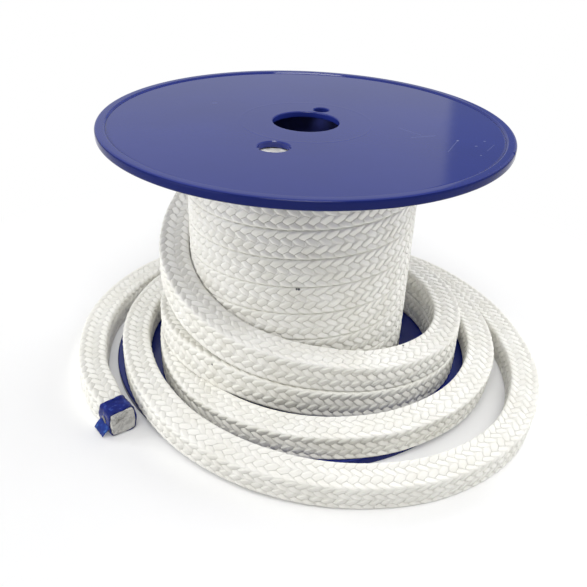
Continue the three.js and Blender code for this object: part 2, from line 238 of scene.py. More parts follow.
class Wire:
    """A value inside a node tree. Arithmetic on it adds Math nodes."""

    def __init__(self, tree, socket):
        self.tree, self.socket = tree, socket

    def math(self, operation, *others, swap=False):
        node = self.tree.nodes.new("ShaderNodeMath")
        node.operation = operation
        values = [*others, self] if swap else [self, *others]
        for slot, value in zip(node.inputs, values):
            if isinstance(value, Wire):
                self.tree.links.new(value.socket, slot)
            else:
                slot.default_value = value
        return Wire(self.tree, node.outputs[0])

    def __add__(self, other):
        return self.math("ADD", other)

    def __sub__(self, other):
        return self.math("SUBTRACT", other)

    def __rsub__(self, other):
        return self.math("SUBTRACT", other, swap=True)

    def __mul__(self, other):
        return self.math("MULTIPLY", other)

    __radd__, __rmul__ = __add__, __mul__


def either(operation, function):
    """A function of numbers or arrays that is a Math node where its first value is a Wire."""
    def apply(x, *others):
        return x.math(operation, *others) if isinstance(x, Wire) else function(x, *others)
    return apply


nearest, below = either("ROUND", np.round), either("FLOOR", np.floor)
root, sine, size_of = either("SQRT", np.sqrt), either("SINE", np.sin), either("ABSOLUTE", np.abs)
higher, lower = either("MAXIMUM", np.maximum), either("MINIMUM", np.minimum)
beats = either("GREATER_THAN", lambda x, y: (x > y) * 1.0)


def shares(x, before, after):
    """x as a share of one reach where it is negative, and of the other where it is positive."""
    return x * (0.5 / after + 0.5 / before) + size_of(x) * (0.5 / after - 0.5 / before)


def braid(u, v):
    """Height of the braid, about 0 to 1, at distance u along the packing and v round its section, and
    how clear the place is of creases: 0 in one and 1 on a crown. Near a corner and on a pressed face
    the height is nearer to LEVEL and the creases are fainter."""
    top = second = tilt = None
    for centre, slant, angle, front, back, left, right, height, phase in ROWS:
        cos, sin = math.cos(math.radians(angle)), math.sin(math.radians(angle))
        across = v - centre
        across = across - SIDE * nearest(across * (1 / SIDE))
        place = (u + across * (slant * cos / sin)) * (1 / PERIOD) - phase
        place = place - below(place)
        for neighbour in (0, 1):
            off = (place - neighbour) * PERIOD
            along = shares(off * cos - across * (slant / sin), front, back)
            beside = shares(off * sin, left, right)
            crown = height - along * along - beside * beside
            if top is None:
                top, second, tilt = crown, crown * 0.0 - 1.0, off
            else:
                tilt = tilt + (off - tilt) * beats(crown, top)
                second = higher(second, lower(top, crown))
                top = higher(top, crown)
    gap = lower(top - second, CREASE) * (1 / CREASE)
    groove = (1.0 - gap) * (1.0 - gap) * GROOVE
    corner = v - SIDE * nearest(v * (1 / SIDE))
    calm = lower(EDGE_CALM + size_of(corner) * ((1 - EDGE_CALM) / EDGE_WIDTH), 1.0)
    upright = higher(lower(sine(v * (math.pi / SIDE)) * 3.0, 1.0), -1.0)
    calm = calm * (0.5 + FACE_CALM / 2 + upright * (0.5 - FACE_CALM / 2))
    height = root(higher(top, 0.05)) * CROWN - groove - tilt * (TILT / PERIOD)
    return LEVEL + (height - LEVEL) * calm, 1.0 - (1.0 - gap) * calm


def soft_braid(u, v):
    """The height, evened out over the spacing of a mesh."""
    heights = [braid(u + a * SAMPLE, v + b * SAMPLE)[0] for a in (-1, 0, 1) for b in (-1, 0, 1)]
    return sum(heights) / len(heights)


# Paths

def polar(azimuth, radius, z):
    angle = np.radians(azimuth)
    return np.stack([radius * np.cos(angle), radius * np.sin(angle), z + 0 * angle], axis=-1)


def curve_through(points, steps=24):
    """Centripetal Catmull-Rom curve through the points, as three.js draws it."""
    p = np.vstack([2 * points[0] - points[1], points, 2 * points[-1] - points[-2]])
    gap = np.sqrt(np.linalg.norm(np.diff(p[:, :3], axis=0), axis=1))[:, None]
    slope = np.diff(p, axis=0) / gap
    wide = (p[2:] - p[:-2]) / (gap[1:] + gap[:-1])
    lead = slope[:-1] - wide + slope[1:]
    start, end = lead[:-1] * gap[1:-1], lead[1:] * gap[1:-1]
    a, b = p[1:-2], p[2:-1]
    t = (np.arange(steps) / steps)[:, None, None]
    square, cube = 3 * (b - a) - 2 * start - end, 2 * (a - b) + start + end
    cubic = a + t * start + t**2 * square + t**3 * cube
    return np.vstack([cubic.transpose(1, 0, 2).reshape(-1, p.shape[1]), points[-1]])


def lengths_along(points):
    return np.concatenate([[0], np.cumsum(np.linalg.norm(np.diff(points[:, :3], axis=0), axis=1))])


def even_steps(points, step):
    """The same line with its points a step apart."""
    length = lengths_along(points)
    count = int(round(length[-1] / step))
    want = np.linspace(0, length[-1], count + 1)
    return np.stack([np.interp(want, length, column) for column in points.T], axis=-1)


def frames_along(centre, lean, closed=False):
    """Outward, upward and forward directions of an upright section whose top is tipped outwards by
    lean, in degrees: one number, or one for each point."""
    if closed:
        tangent = np.roll(centre, -1, axis=0) - np.roll(centre, 1, axis=0)
    else:
        tangent = np.gradient(centre, axis=0)
    tangent /= np.linalg.norm(tangent, axis=1, keepdims=True)
    outward = np.cross(tangent, [0, 0, 1])
    outward /= np.linalg.norm(outward, axis=1, keepdims=True)
    upward = np.cross(outward, tangent)
    tip = np.radians(lean * np.ones(len(centre)))[:, None]
    cos, sin = np.cos(tip), np.sin(tip)
    return cos * outward - sin * upward, sin * outward + cos * upward, tangent


# The square section: v runs from the upper outer edge down the outer face, inwards along the
# underside, up the inner face and outwards along the top.

def places_round(outer, under, inner, top):
    sides = enumerate((outer, under, inner, top))
    return np.concatenate([SIDE * (i + np.arange(count) / count) for i, count in sides])


def section_at(v, wide=SIDE, high=SIDE, rounding=ROUND):
    """Offsets outwards and upwards of the places v, and the direction the section faces there."""
    side = np.floor(v / SIDE + 1e-9).astype(int)
    w = v - side * SIDE
    half = np.where(side % 2 == 0, high, wide) / 2
    depth = np.where(side % 2 == 0, wide, high) / 2
    into_corner = np.clip(w - (SIDE - ROUND), 0, None) - np.clip(ROUND - w, 0, None)
    turn = into_corner / ROUND * (math.pi / 4)
    flat = (np.clip(w, ROUND, SIDE - ROUND) - SIDE / 2) / (SIDE / 2 - ROUND)
    along = flat * (half - rounding) + rounding * np.sin(turn)
    out = depth - rounding + rounding * np.cos(turn)
    facing = np.array([(1, 0), (0, -1), (-1, 0), (0, 1)])[side]
    running = np.array([(0, -1), (-1, 0), (0, 1), (1, 0)])[side]
    offset = out[:, None] * facing + along[:, None] * running
    normal = np.cos(turn)[:, None] * facing + np.sin(turn)[:, None] * running
    return offset, normal


def ripples(x, y, seed, waves=9, longest=0.02, shortest=0.004):
    """Smooth irregular height, about -1 to 1, from waves in seeded directions."""
    draw = np.random.default_rng(seed)
    total = 0
    for i in range(waves):
        wave = longest * (shortest / longest) ** (i / (waves - 1))
        angle, phase = draw.uniform(0, math.tau, 2)
        total = total + np.sin((x * np.cos(angle) + y * np.sin(angle)) * math.tau / wave + phase)
    return total / math.sqrt(waves)


# Meshes

def new_piece(name, vertices, faces, materials, uv=None, face_materials=None):
    mesh = bpy.data.meshes.new(name)
    mesh.from_pydata(np.asarray(vertices).tolist(), [], [list(f) for f in faces])
    for material in materials:
        mesh.materials.append(material)
    if uv is not None:
        layer = mesh.uv_layers.new(name="braid")
        layer.data.foreach_set("uv", np.asarray(uv, dtype=np.float32).ravel())
    if face_materials is not None:
        mesh.polygons.foreach_set("material_index", face_materials)
    mesh.shade_smooth()
    mesh.update()
    piece = bpy.data.objects.new(name, mesh)
    bpy.context.scene.collection.objects.link(piece)
    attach(piece, "root")
    return piece


def grid_faces(rows, columns, closed_rows):
    """Quads between rings of vertices, each ring closed on itself."""
    spans = rows if closed_rows else rows - 1
    grid = np.meshgrid(np.arange(spans), np.arange(columns), indexing="ij")
    i, j = (index.ravel() for index in grid)
    near, far = i * columns, (i + 1) % rows * columns
    after = (j + 1) % columns
    return np.stack([near + j, near + after, far + after, far + j], axis=-1)


def squeezed(offset, share):
    """The section drawn in towards its underside and rounded off, fully where share is 1."""
    share = np.reshape(share, (-1, 1))
    angle = np.arctan2(offset[:, 1], offset[:, 0])
    scale = (1 - END_SQUEEZE * share) * (1 - END_ROUNDING * share * np.sin(2 * angle) ** 4)
    across = offset[None, :, 0] * scale
    height = offset[None, :, 1] * scale - END_SQUEEZE * share * SIDE / 2
    return np.stack([across, height], axis=-1)


def squeeze_share(from_end):
    """How far the section is squeezed at a distance from the cut end."""
    return np.clip((SQUEEZE_START - from_end) / SQUEEZE_RUN, 0, 1) ** 1.5


def swept_packing(centre, lean, places, u_start, closed=False, wide=SIDE, high=SIDE,
                  pressed=None, swollen=None, squeezed_end=False):
    """Vertices, faces and braid coordinates of a length of packing along a path, and its last u.
    Pressed is how far its inner face reaches further inwards, and swollen how far its top and its
    underside move out."""
    outward, upward, _ = frames_along(centre, lean, closed)
    length = lengths_along(centre)
    u = u_start + length
    offset, normal = section_at(places, wide, high)
    wander = WANDER * ripples(u[:, None], places[None, :], 5, longest=0.09, shortest=0.02)
    uu, vv = u[:, None] + wander, places[None, :] + 0 * u[:, None]
    rise = RELIEF * (soft_braid(uu, vv) - LEVEL)
    section = offset[None]
    if squeezed_end:
        share = squeeze_share(length[-1] - length)
        section = squeezed(offset, share)
        rise = rise * (1 - END_FLATTENING * share[:, None])
    reach = section + rise[..., None] * normal[None]
    if pressed is not None:
        reach[..., 0] -= pressed[:, None] * (0.5 - offset[:, 0] / wide)
    if swollen is not None:
        top_by, under_by = swollen
        reach[..., 1] += top_by[:, None] * (0.5 + offset[:, 1] / high)
        reach[..., 1] -= under_by[:, None] * (0.5 - offset[:, 1] / high)
    vertices = centre[:, None] + reach[..., :1] * outward[:, None] + reach[..., 1:] * upward[:, None]
    rows, columns = len(centre), len(places)
    faces = grid_faces(rows, columns, closed)
    row_of, column_of = faces // columns, faces % columns
    last = columns - 1
    beside_last = (np.roll(column_of, 1, axis=1) == last) | (np.roll(column_of, -1, axis=1) == last)
    v_loop = np.where((column_of == 0) & beside_last, 4 * SIDE, places[column_of])
    coordinates = np.stack([uu[row_of, column_of], v_loop], axis=-1)
    return vertices.reshape(-1, 3), faces, coordinates, u[-1]


# Materials

def times(share, colour):
    return tuple(share * channel for channel in colour)


def new_material(name):
    material = bpy.data.materials.new(name)
    material.use_nodes = True
    tree = material.node_tree
    shader = tree.nodes["Principled BSDF"]
    return material, tree, shader


def add(tree, kind, **settings):
    """A node with its settings and input values: names that aren't settings are inputs."""
    node = tree.nodes.new(kind)
    for name, value in settings.items():
        if hasattr(node, name):
            setattr(node, name, value)
        else:
            slot = node.inputs[name.replace("_", " ")]
            if isinstance(value, bpy.types.NodeSocket):
                tree.links.new(value, slot)
            else:
                slot.default_value = value
    return node


def ramp(tree, factor, *stops):
    """Colour ramp through (place, colour) stops."""
    node = tree.nodes.new("ShaderNodeValToRGB")
    elements = node.color_ramp.elements
    while len(elements) < len(stops):
        elements.new(0.5)
    for element, (place, colour) in zip(elements, stops):
        element.position = place
        element.color = (*colour, 1) if len(colour) == 3 else colour
    tree.links.new(factor, node.inputs[0])
    return node.outputs[0]


def noise(tree, scale, detail=3, coordinates=None, **settings):
    node = add(tree, "ShaderNodeTexNoise", Scale=scale, Detail=detail, **settings)
    if coordinates is None:
        coordinates = add(tree, "ShaderNodeTexCoord").outputs["Object"]
    tree.links.new(coordinates, node.inputs["Vector"])
    return node.outputs["Fac"]


def mix(tree, factor, a, b, blend="MIX"):
    node = tree.nodes.new("ShaderNodeMix")
    node.data_type, node.blend_type = "RGBA", blend
    for slot, value in ((node.inputs[0], factor), (node.inputs[6], a), (node.inputs[7], b)):
        if isinstance(value, bpy.types.NodeSocket):
            tree.links.new(value, slot)
        else:
            slot.default_value = value if isinstance(value, float) else (*value, 1)
    return node.outputs[2]


def bump(tree, height, distance, strength=1.0, normal=None):
    node = add(tree, "ShaderNodeBump", Distance=distance, Strength=strength)
    tree.links.new(height, node.inputs["Height"])
    if normal is not None:
        tree.links.new(normal, node.inputs["Normal"])
    return node.outputs["Normal"]


def packing_material():
    """Off-white braided yarn: crowns, creases between them painted darker and warmer as painted
    shade, fine fibre and a little dirt.
    """
    material, tree, shader = new_material("braided_packing")
    position = add(tree, "ShaderNodeTexCoord").outputs["Object"]
    uv = add(tree, "ShaderNodeUVMap", uv_map="braid").outputs["UV"]
    split = add(tree, "ShaderNodeSeparateXYZ", Vector=uv)
    height, gap = braid(Wire(tree, split.outputs[0]), Wire(tree, split.outputs[1]))

    # Painted shade: the creases are drawn darker and warmer than the crowns, where shade falls in
    # them.
    crease_shade = ramp(tree, gap.socket, (0.0, (0.62, 0.585, 0.47)), (0.25, (0.83, 0.81, 0.74)),
                  (0.5, (0.89, 0.88, 0.825)))
    cloud = noise(tree, 55, 4)
    tone = ramp(tree, cloud, (0.30, (0.93, 0.925, 0.905)), (0.62, (1.0, 1.0, 1.0)))
    colour = mix(tree, 1.0, crease_shade, tone, "MULTIPLY")
    dust = add(tree, "ShaderNodeTexVoronoi", feature="F1", Scale=42.0, Randomness=1.0,
               Vector=position)
    cell = add(tree, "ShaderNodeSeparateColor", Color=dust.outputs["Color"]).outputs[0]
    chosen = ramp(tree, cell, (0.975, (0, 0, 0)), (0.98, (1, 1, 1)))
    near = ramp(tree, dust.outputs["Distance"], (0.014, (1, 1, 1)), (0.024, (0, 0, 0)))
    colour = mix(tree, mix(tree, 1.0, chosen, near, "MULTIPLY"), colour, (0.12, 0.11, 0.10))
    speck = None
    for *place, radius in SPECKS:
        distance = add(tree, "ShaderNodeVectorMath", operation="DISTANCE")
        tree.links.new(position, distance.inputs[0])
        distance.inputs[1].default_value = place
        mask = higher(1.0 - Wire(tree, distance.outputs["Value"]) * (1 / radius), 0.0)
        speck = mask if speck is None else speck + mask
    colour = mix(tree, lower(speck * 2.5, 1.0).socket, colour, (0.03, 0.03, 0.04))
    tree.links.new(colour, shader.inputs["Base Color"])

    fibre = noise(tree, 1900, 2)
    knit = bump(tree, height.socket, 1.1 * MM)
    tree.links.new(bump(tree, fibre, 0.10 * MM, 0.5, knit), shader.inputs["Normal"])
    shader.inputs["Roughness"].default_value = 0.82
    shader.inputs["Sheen Weight"].default_value = 0.12
    shader.inputs["Sheen Roughness"].default_value = 0.5
    return material


def cut_end_material(name, shade):
    """Rough greyish cut face with swirls of broken fibres."""
    material, tree, shader = new_material(name)
    patches = noise(tree, 170, 4, Distortion=3.0)
    streaks = noise(tree, 900, 3, Distortion=1.5)
    swirls = ramp(tree, patches, (0.36, times(0.55, shade)), (0.56, shade))
    fibres = ramp(tree, streaks, (0.3, times(0.7, shade)), (0.7, times(1.1, shade)))
    tree.links.new(mix(tree, 0.4, swirls, fibres), shader.inputs["Base Color"])
    torn = bump(tree, patches, 0.8 * MM)
    tree.links.new(bump(tree, streaks, 0.4 * MM, 0.8, torn), shader.inputs["Normal"])
    shader.inputs["Roughness"].default_value = 0.9
    return material


def plate_marks(x, y):
    """1 on the scratches and specks of dust on the upper plate, fading to 0 beside them."""
    total = None
    for x0, y0, x1, y1, half, strength in MARKS:
        length = max(math.hypot(x1 - x0, y1 - y0), 0.01 * MM)
        ex, ey = (x1 - x0) / length, (y1 - y0) / length
        px, py = x - x0, y - y0
        along = higher(lower(px * ex + py * ey, length), 0.0)
        dx, dy = px - along * ex, py - along * ey
        mark = higher(1.0 - (dx * dx + dy * dy) * (1 / half**2), 0.0) * strength
        total = mark if total is None else total + mark
    return total


def spool_material(name, colour, roughness, worn_plate_and_shaded_rim=False):
    """Moulded blue plastic with faint flow marks, rubbed patches and hair scratches. On a flange the
    outer wall of the rim is painted at half the colour with less reflection, a painted shade, and the
    upper plate has pale scratches and dust.
    """
    material, tree, shader = new_material(name)
    coordinates = add(tree, "ShaderNodeTexCoord").outputs["Object"]
    flow = noise(tree, 16, 4, coordinates)
    rubbed = noise(tree, 70, 5, coordinates)
    tint = ramp(tree, flow, (0.3, times(0.86, colour)), (0.7, colour))
    if worn_plate_and_shaded_rim:
        place = add(tree, "ShaderNodeSeparateXYZ", Vector=coordinates)
        x, y, z = (Wire(tree, socket) for socket in place.outputs)
        # Painted shade: the outer wall of the rim is drawn at half the colour and with less
        # reflection, darker than the plate because of how the light falls on it.
        wall = beats(x * x + y * y, (FLANGE_RADIUS - 0.5 * MM) ** 2)
        tint = mix(tree, wall.socket, tint, times(0.5, colour))
        tree.links.new((0.5 - wall * 0.4).socket, shader.inputs["Specular IOR Level"])
        marks = plate_marks(x, y) * beats(z, MARKS_ABOVE)
        tint = mix(tree, marks.socket, tint, (0.35, 0.38, 0.55))
    tree.links.new(tint, shader.inputs["Base Color"])
    gloss = ramp(tree, rubbed, (0.35, (roughness * 0.85,) * 3), (0.75, (roughness * 1.35,) * 3))
    tree.links.new(gloss, shader.inputs["Roughness"])
    stretched = add(tree, "ShaderNodeMapping", Vector=coordinates, Rotation=(0, 0, 0.5),
                    Scale=(1, 14, 1))
    hair = noise(tree, 240, 2, stretched.outputs[0])
    wavy = bump(tree, flow, 0.25 * MM, 0.25)
    tree.links.new(bump(tree, hair, 0.02 * MM, 0.35, wavy), shader.inputs["Normal"])
    shader.inputs["IOR"].default_value = 1.5
    return material


def tape_material(name, plain, pale_patch):
    """Thin glossy blue tape, paler in random patches."""
    material, tree, shader = new_material(name)
    worn = noise(tree, 330, 4)
    colour = ramp(tree, worn, (0.35, times(0.7, plain)), (0.58, plain), (0.78, pale_patch))
    tree.links.new(colour, shader.inputs["Base Color"])
    tree.links.new(bump(tree, noise(tree, 900, 3), 0.15 * MM, 0.5), shader.inputs["Normal"])
    shader.inputs["Roughness"].default_value = 0.22
    shader.inputs["Specular IOR Level"].default_value = 0.16
    return material


PACKING_LOOK = packing_material()
CUT_LOOK = cut_end_material("cut_fibre", (0.62, 0.61, 0.58))
# Painted shade: the packing seen through the gap in the tape is drawn in a dark fibre colour.
SHADED_GAP_LOOK = cut_end_material("shaded_fibre", (0.30, 0.29, 0.25))
FLANGE_LOOK = spool_material("spool_blue", (0.017, 0.029, 0.215), 0.07, worn_plate_and_shaded_rim=True)
BARREL_LOOK = spool_material("barrel_blue", (0.028, 0.036, 0.19), 0.42)
TAPE_LOOK = tape_material("blue_tape", (0.010, 0.019, 0.165), (0.05, 0.09, 0.34))
# Painted highlight: the tail's tape is a paler, more cyan copy of the wrap's, for the light blue
# glints along it.
TAIL_HIGHLIGHT_LOOK = tape_material("tail_tape_painted_highlight", (0.014, 0.036, 0.22), (0.06, 0.20, 0.46))


# The cut ends

def cut_face(ring, centre, away, first, start):
    """Rings that close a cut end, a shallow torn hollow. Away is the way the end faces."""
    shrink = (0.93, 0.8, 0.62, 0.42, 0.2)
    draw = np.random.default_rng(11)
    rings = []
    for scale in shrink:
        ragged = draw.uniform(-0.5, 0.5, (len(ring), 1)) * MM
        hollow = (0.5 - 0.5 * scale) * MM
        rings.append(centre + (ring - centre) * scale + away * (ragged * (1 - scale**4) - hollow))
    rings.append(centre[None] - away * 0.4 * MM)
    columns = len(ring)
    faces = []
    outer = start + np.arange(columns)
    for k in range(len(shrink)):
        inner = first + k * columns + np.arange(columns)
        faces += [[outer[j], outer[j - 1], inner[j - 1], inner[j]] for j in range(columns)]
        outer = inner
    tip = first + len(shrink) * columns
    faces += [[outer[j], outer[j - 1], tip] for j in range(columns)]
    return np.vstack(rings), faces


def with_cut_ends(vertices, faces, uv, columns, centre):
    """The swept length with both its ends closed, and which of its faces are cut ones."""
    faces = np.asarray(faces).tolist()
    kinds = [0] * len(faces)
    uv = uv.reshape(-1, 2)
    for last in (False, True):
        start = len(centre) * columns - columns if last else 0
        away = centre[-1] - centre[-2] if last else centre[0] - centre[1]
        away = away / np.linalg.norm(away)
        ring = vertices[start:start + columns]
        cap, cap_faces = cut_face(ring, ring.mean(axis=0), away, len(vertices), start)
        if last:
            cap_faces = [f[::-1] for f in cap_faces]
        vertices = np.vstack([vertices, cap])
        faces += cap_faces
        kinds += [1] * len(cap_faces)
        uv = np.vstack([uv, np.zeros((sum(map(len, cap_faces)), 2))])
    return vertices, faces, uv, kinds


# The packing on the barrel

def wound_path():
    azimuth = np.linspace(WIND_START, WIND_END, 2 * (WIND_END - WIND_START) + 1)
    middle = (LAYER_SPLIT + LAYER_OUTER) / 2
    helix = polar(azimuth, middle, WIND_FOOT + SIDE * azimuth / 360 + SIDE / 2)
    return even_steps(helix, ROW_STEP * middle / LAYER_OUTER)


def make_outer_layer():
    centre = wound_path()
    places = places_round(*OUTER_COLUMNS)
    vertices, faces, uv, u_end = swept_packing(centre, 0, places, 0.0, wide=LAYER_OUTER - LAYER_SPLIT)
    vertices, faces, uv, kinds = with_cut_ends(vertices, faces, uv, len(places), centre)
    piece = new_piece("outer_layer", vertices, faces, [PACKING_LOOK, CUT_LOOK], uv, kinds)
    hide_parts("wound_packing")
    return centre, u_end


def make_inner_layer():
    """The layer on the barrel, one ring of packing on another."""
    low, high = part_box("wound_packing")[0].z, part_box("wound_packing")[1].z
    pitch = (high - low) / INNER_TURNS
    radius = (LAYER_INNER + LAYER_SPLIT) / 2
    section = LAYER_SPLIT - LAYER_INNER - INNER_SLACK[0], pitch - INNER_SLACK[1]
    places = places_round(*INNER_COLUMNS)
    azimuth = np.linspace(0, 360, INNER_STEPS, endpoint=False)
    parts, quads, coordinates, total = [], [], [], 0
    for turn in range(INNER_TURNS):
        centre = polar(azimuth, radius, low + pitch * (turn + 0.5))
        u_start = INNER_SHIFT * turn * PERIOD
        vertices, faces, uv, _ = swept_packing(centre, 0, places, u_start, True, *section)
        parts.append(vertices)
        quads.append(faces + total)
        coordinates.append(uv.reshape(-1, 2))
        total += len(vertices)
    piece = new_piece("inner_layer", np.vstack(parts), np.vstack(quads), [PACKING_LOOK],
                      np.vstack(coordinates))
    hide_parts("wound_packing")


# The free length

def free_path(joint):
    stations = np.array(ROUTE)
    points = polar(stations[:, 0], stations[:, 1], stations[:, 2] + SIDE / 2)
    points = np.column_stack([points, stations[:, 3], stations[:, 0]])
    points = np.vstack([[*joint, 0, LEAVING], points])
    return even_steps(curve_through(points), ROW_STEP)


def make_free_packing(joint, u_start):
    """The loose length from the joint on: its piece, its path, its lean and its true middle line."""
    route = free_path(joint)
    centre, lean = route[:, :3], route[:, 3]
    pressed = np.interp(route[:, 4], *np.array(PRESSED).T)
    table = np.array(SWOLLEN)
    swollen = [np.interp(route[:, 4], table[:, 0], table[:, k]) for k in (1, 2)]
    places = places_round(*FREE_COLUMNS)
    vertices, faces, uv, _ = swept_packing(centre, lean, places, u_start, pressed=pressed,
                                           swollen=swollen, squeezed_end=True)
    vertices, faces, uv, kinds = with_cut_ends(vertices, faces, uv, len(places), centre)
    piece = new_piece("free_length", vertices, faces, [PACKING_LOOK, CUT_LOOK], uv, kinds)
    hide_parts("free_packing")
    outward, upward, _ = frames_along(centre, lean)
    raised = (swollen[0] - swollen[1])[:, None] / 2
    middle = centre - pressed[:, None] / 2 * outward + raised * upward
    return piece, centre, lean, middle


# The tape round the end

def tape_wrap(centre, lean):
    """Outer and inner walls of the sleeve of tape, crinkled, as closed rings of vertices."""
    outward, upward, _ = frames_along(centre, lean)
    length = lengths_along(centre)
    front = length[-1] - TAPE_FROM_END
    places = places_round(*TAPE_COLUMNS)
    along = np.linspace(0, 1, 15)
    ragged = 0.5 * MM * ripples(places, 0, 3, longest=0.03, shortest=0.006)
    rings = []
    for wall, stretch in ((TAPE_OUTSIDE, along), (TAPE_INSIDE, along[::-1])):
        offset, normal = section_at(places, SIDE + 2 * wall, SIDE + 2 * wall, ROUND + wall)
        for s in stretch:
            place = front - TAPE_LENGTH * (1 - s)
            ends = ragged * abs(2 * s - 1) ** 4
            at = [np.interp(place + ends, length, column) for column in centre.T]
            k = int(np.clip(np.searchsorted(length, place), 0, len(length) - 1))
            crinkle = 0.16 * MM * ripples(places, place, 8, longest=0.014, shortest=0.003)
            reach = squeezed(offset, squeeze_share(length[-1] - place))[0] + crinkle[:, None] * normal
            rings.append(np.stack(at, axis=-1) + reach[:, :1] * outward[k] + reach[:, 1:] * upward[k])
    vertices = np.vstack(rings)
    return vertices, grid_faces(len(rings), len(places), True)


def tape_tail(centre, lean, first):
    """The tape's loose tail: a curled strip along the wrap that stands off its outer side."""
    outward, upward, tangent = (d[-1] for d in frames_along(centre, lean))
    across, along = 15, 10
    s, w = np.meshgrid(np.linspace(0, 1, along), np.linspace(-0.5, 0.5, across), indexing="ij")
    droop = np.radians(TAIL_DROOP[0] + (TAIL_DROOP[1] - TAIL_DROOP[0]) * s)
    step = TAIL_REACH / (along - 1)
    out = (np.cumsum(np.cos(droop), axis=0) - np.cos(droop[:1])) * step
    down = (np.cumsum(np.sin(droop), axis=0) - np.sin(droop[:1])) * step
    waves = ripples(s * TAIL_REACH, w * TAIL_LENGTH, 21, longest=0.012, shortest=0.003)
    crinkle = 0.22 * MM * waves * s
    along_wrap = w * TAIL_LENGTH * (1 - 0.06 * s) - TAPE_FROM_END - TAPE_LENGTH / 2
    root_reach = (1 - END_SQUEEZE) * (SIDE / 2 + TAIL_DEPTH)
    sheets = []
    for sheet in (TAIL_THICK / 2, -TAIL_THICK / 2):
        beside = root_reach + out + (crinkle + sheet) * np.sin(droop)
        height = (crinkle + sheet) * np.cos(droop) - down + TAIL_ROOT
        point = (centre[-1] + beside[..., None] * outward + height[..., None] * upward
                 + along_wrap[..., None] * tangent)
        sheets.append(point.reshape(-1, 3))
    count = across * along
    i, j = np.meshgrid(np.arange(along - 1), np.arange(across - 1), indexing="ij")
    a = (i * across + j).ravel()
    front = np.stack([a, a + 1, a + across + 1, a + across], axis=-1)
    rim = (list(range(across)) + [k * across + across - 1 for k in range(1, along)]
           + [(along - 1) * across + j for j in range(across - 2, -1, -1)]
           + [k * across for k in range(along - 2, 0, -1)])
    edge = [[rim[k], rim[k - 1], rim[k - 1] + count, rim[k] + count] for k in range(len(rim))]
    faces = np.vstack([front, front[:, ::-1] + count, np.array(edge)])
    return np.vstack(sheets), faces + first


def tape_gap(centre, lean, first):
    """The oval gap in the tape's outer side: a thin patch of fibre, painted dark as the shade inside
    the gap.
    """
    outward, upward, tangent = (d[-1] for d in frames_along(centre, lean))
    half_length, half_height, height = TAPE_GAP
    angle = np.linspace(0, math.tau, 24, endpoint=False)
    beside = (1 - END_SQUEEZE) * (SIDE / 2 + TAPE_OUTSIDE)
    middle = centre[-1] + height * upward - (TAPE_FROM_END + 0.5 * TAPE_LENGTH) * tangent
    rim = half_length * np.cos(angle)[:, None] * (tangent - 0.8 * upward)
    rim = middle + rim + half_height * np.sin(angle)[:, None] * upward
    vertices = np.vstack([rim + outward * beside, rim + outward * (beside + GAP_DEPTH)])
    count = len(angle)
    faces = [[first + j for j in range(count)], [first + count + j for j in reversed(range(count))]]
    faces += [[first + j, first + count + j, first + count + (j + 1) % count, first + (j + 1) % count]
              for j in range(count)]
    return vertices, faces


def make_tape(centre, lean):
    wrap, wrap_faces = tape_wrap(centre, lean)
    tail, tail_faces = tape_tail(centre, lean, len(wrap))
    gap, gap_faces = tape_gap(centre, lean, len(wrap) + len(tail))
    faces = wrap_faces.tolist() + tail_faces.tolist() + gap_faces
    kinds = [0] * len(wrap_faces) + [1] * len(tail_faces) + [2] * len(gap_faces)
    looks = [TAPE_LOOK, TAIL_HIGHLIGHT_LOOK, SHADED_GAP_LOOK]
    piece = new_piece("end_tape_wrap", np.vstack([wrap, tail, gap]), faces, looks,
                      face_materials=kinds)
    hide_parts("end_tape")
    return piece


# The spool

def arc(centre_r, centre_z, radius, start, end, count=6):
    """Points on an arc of a profile, from start to end in degrees."""
    return [(centre_r + radius * math.cos(a), centre_z + radius * math.sin(a))
            for a in np.radians(np.linspace(start, end, count))]


def turned_piece(name, profile, sides, material):
    """Closed solid of revolution from a profile listed counter-clockwise."""
    angle = np.linspace(0, math.tau, sides, endpoint=False)
    r, z = np.array(profile).T
    columns = ((np.cos(angle), r), (np.sin(angle), r), (np.ones(sides), z))
    rings = np.stack([np.outer(turn, value) for turn, value in columns], axis=-1)
    faces = grid_faces(sides, len(profile), True)[:, ::-1]
    return new_piece(name, rings.reshape(-1, 3), faces, [material])


def flange_profile(low, high):
    """Plate with a rounded rim on both faces, a raised ring on its top and a soft bore edge."""
    edge, inner = FLANGE_RADIUS, FLANGE_RADIUS - RIM_WIDTH
    p_low, p_high = low + PLATE_RECESS, high - PLATE_RECESS
    bore = BORE_RADIUS + BORE_EASE
    plate_start = bore + 0.6 * MM
    bead = inner - 0.3 * MM, 0.9 * MM            # centre and radius of the rim's inner rounding
    under = [(plate_start, p_low), (inner - 2.4 * MM, p_low), (inner - 1.5 * MM, p_low)]
    under += arc(bead[0], low + bead[1], bead[1], 215, 270, 5)
    under += [(edge - RIM_SOFT - 0.5 * MM, low)]
    rim = arc(edge - RIM_SOFT, low + RIM_SOFT, RIM_SOFT, 270, 360, 8)
    rim += arc(edge - RIM_SOFT, high - RIM_SOFT, RIM_SOFT, 0, 90, 8)
    above = [(edge - RIM_SOFT - 0.5 * MM, high)]
    above += arc(bead[0], high - bead[1], bead[1], 90, 145, 5)
    above += [(inner - 1.5 * MM, p_high - 0.25 * MM), (inner - 2.1 * MM, p_high - 0.05 * MM)]
    above += [(inner - 2.6 * MM, p_high), (inner - 3.2 * MM, p_high)]
    mark, mark_height = HUB_MARK
    ring = ((1.4, 0), (0.9, 0), (0.5, mark_height), (-0.5, mark_height), (-0.9, 0), (-1.4, 0))
    above += [(mark + off * MM, p_high + rise) for off, rise in ring] + [(plate_start, p_high)]
    hole = arc(bore, p_high - BORE_EASE, BORE_EASE, 90, 180)
    hole += arc(bore, p_low + BORE_EASE, BORE_EASE, 180, 270)
    return under + rim + above + hole


